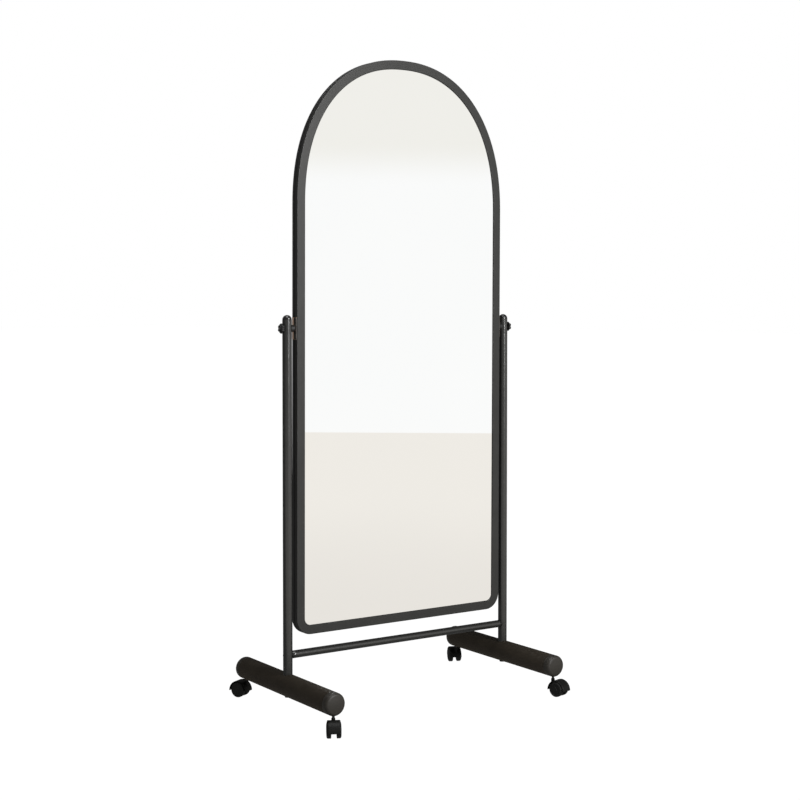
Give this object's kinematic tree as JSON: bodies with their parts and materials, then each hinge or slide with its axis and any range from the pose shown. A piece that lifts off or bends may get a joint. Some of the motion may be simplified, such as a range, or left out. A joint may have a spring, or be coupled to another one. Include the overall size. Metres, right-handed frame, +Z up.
{
  "type": "rolling floor mirror",
  "caption": "Arched full-length mirror that tilts between two posts on a castered stand, clamped by two side knobs.",
  "frame": {"origin": "on the floor, midway between the two posts", "axes": "+X to the viewer's right, -Y the way the mirror faces, +Z up"},
  "size_m": [0.7675, 0.5434, 1.7079],
  "materials": {
    "foot_black": "matte",
    "cap_black": "satin",
    "post_grey": "satin",
    "trim_black": "gloss",
    "hardware_steel": "satin",
    "nylon_black": "satin",
    "frame_aluminium": "satin",
    "splice_aluminium": "satin",
    "seal_black": "matte",
    "mirror_glass": "polished",
    "backing_board": "matte",
    "back_panel": "matte",
    "plate_brass": "satin",
    "knob_black": "satin",
    "caster_plastic": "satin",
    "wheel_plastic": "matte"
  },
  "bodies": {
    "stand": {"foot_left": "foot_black", "foot_right": "foot_black", "cap_front_left": "cap_black", "cap_front_right": "cap_black", "cap_back_left": "cap_black", "cap_back_right": "cap_black", "post_left": "post_grey", "post_right": "post_grey", "post_cap_left": "trim_black", "post_cap_right": "trim_black", "post_plugs": "hardware_steel", "foot_bolts": "hardware_steel", "crossbar": "post_grey", "crossbar_plugs": "hardware_steel", "crossbar_bolts": "hardware_steel", "access_plugs": "trim_black", "pivot_bush_left": "nylon_black", "pivot_bush_right": "nylon_black", "saddle_left": "nylon_black", "saddle_right": "nylon_black", "stem_front_left": "hardware_steel", "stem_front_right": "hardware_steel", "stem_back_left": "hardware_steel", "stem_back_right": "hardware_steel"},
    "mirror": {"mirror_frame": "frame_aluminium", "frame_splice": "splice_aluminium", "splice_screws": "hardware_steel", "glass_seal": "seal_black", "mirror_glass": "mirror_glass", "backing_board": "backing_board", "back_panel": "back_panel", "panel_screws": "hardware_steel", "pivot_plate_left": "plate_brass", "pivot_plate_right": "plate_brass", "plate_screws": "plate_brass", "friction_washer_left": "nylon_black", "friction_washer_right": "nylon_black"},
    "knob_left_body": {"knob_left": "knob_black", "stud_left": "hardware_steel"},
    "knob_right_body": {"knob_right": "knob_black", "stud_right": "hardware_steel"},
    "caster_front_left": {"hood_front_left": "caster_plastic", "axle_front_left": "hardware_steel"},
    "wheel_front_left_a_body": {"wheel_front_left_a": "wheel_plastic"},
    "wheel_front_left_b_body": {"wheel_front_left_b": "wheel_plastic"},
    "caster_front_right": {"hood_front_right": "caster_plastic", "axle_front_right": "hardware_steel"},
    "wheel_front_right_a_body": {"wheel_front_right_a": "wheel_plastic"},
    "wheel_front_right_b_body": {"wheel_front_right_b": "wheel_plastic"},
    "caster_back_left": {"hood_back_left": "caster_plastic", "axle_back_left": "hardware_steel"},
    "wheel_back_left_a_body": {"wheel_back_left_a": "wheel_plastic"},
    "wheel_back_left_b_body": {"wheel_back_left_b": "wheel_plastic"},
    "caster_back_right": {"hood_back_right": "caster_plastic", "axle_back_right": "hardware_steel"},
    "wheel_back_right_a_body": {"wheel_back_right_a": "wheel_plastic"},
    "wheel_back_right_b_body": {"wheel_back_right_b": "wheel_plastic"}
  },
  "joints": [
    {"name": "mirror_tilt", "type": "hinge", "parent": "stand", "child": "mirror", "pos_m": [0, 0, 0.9978], "axis": [1, 0, 0], "continuous": true},
    {"name": "knob_left_turn", "type": "hinge", "parent": "stand", "child": "knob_left_body", "pos_m": [-0.36775, 0, 0.9978], "axis": [-1, 0, 0], "range_deg": [0, 720]},
    {"name": "knob_right_turn", "type": "hinge", "parent": "stand", "child": "knob_right_body", "pos_m": [0.36775, 0, 0.9978], "axis": [1, 0, 0], "range_deg": [0, 720]},
    {"name": "caster_front_left_swivel", "type": "hinge", "parent": "stand", "child": "caster_front_left", "pos_m": [-0.34975, -0.223, 0.05], "axis": [0, 0, 1], "continuous": true},
    {"name": "wheel_front_left_a_roll", "type": "hinge", "parent": "caster_front_left", "child": "wheel_front_left_a_body", "pos_m": [-0.3589, -0.24022, 0.02], "axis": [0.8829, -0.4695, 0], "continuous": true},
    {"name": "wheel_front_left_b_roll", "type": "hinge", "parent": "caster_front_left", "child": "wheel_front_left_b_body", "pos_m": [-0.3589, -0.24022, 0.02], "axis": [0.8829, -0.4695, 0], "continuous": true},
    {"name": "caster_front_right_swivel", "type": "hinge", "parent": "stand", "child": "caster_front_right", "pos_m": [0.34975, -0.223, 0.05], "axis": [0, 0, 1], "continuous": true},
    {"name": "wheel_front_right_a_roll", "type": "hinge", "parent": "caster_front_right", "child": "wheel_front_right_a_body", "pos_m": [0.35447, -0.24192, 0.02], "axis": [0.9703, 0.2419, 0], "continuous": true},
    {"name": "wheel_front_right_b_roll", "type": "hinge", "parent": "caster_front_right", "child": "wheel_front_right_b_body", "pos_m": [0.35447, -0.24192, 0.02], "axis": [0.9703, 0.2419, 0], "continuous": true},
    {"name": "caster_back_left_swivel", "type": "hinge", "parent": "stand", "child": "caster_back_left", "pos_m": [-0.34975, 0.223, 0.05], "axis": [0, 0, 1], "continuous": true},
    {"name": "wheel_back_left_a_roll", "type": "hinge", "parent": "caster_back_left", "child": "wheel_back_left_a_body", "pos_m": [-0.3589, 0.24022, 0.02], "axis": [-0.8829, -0.4695, 0], "continuous": true},
    {"name": "wheel_back_left_b_roll", "type": "hinge", "parent": "caster_back_left", "child": "wheel_back_left_b_body", "pos_m": [-0.3589, 0.24022, 0.02], "axis": [-0.8829, -0.4695, 0], "continuous": true},
    {"name": "caster_back_right_swivel", "type": "hinge", "parent": "stand", "child": "caster_back_right", "pos_m": [0.34975, 0.223, 0.05], "axis": [0, 0, 1], "continuous": true},
    {"name": "wheel_back_right_a_roll", "type": "hinge", "parent": "caster_back_right", "child": "wheel_back_right_a_body", "pos_m": [0.35737, 0.24095, 0.02], "axis": [-0.9205, 0.3907, 0], "continuous": true},
    {"name": "wheel_back_right_b_roll", "type": "hinge", "parent": "caster_back_right", "child": "wheel_back_right_b_body", "pos_m": [0.35737, 0.24095, 0.02], "axis": [-0.9205, 0.3907, 0], "continuous": true}
  ]
}
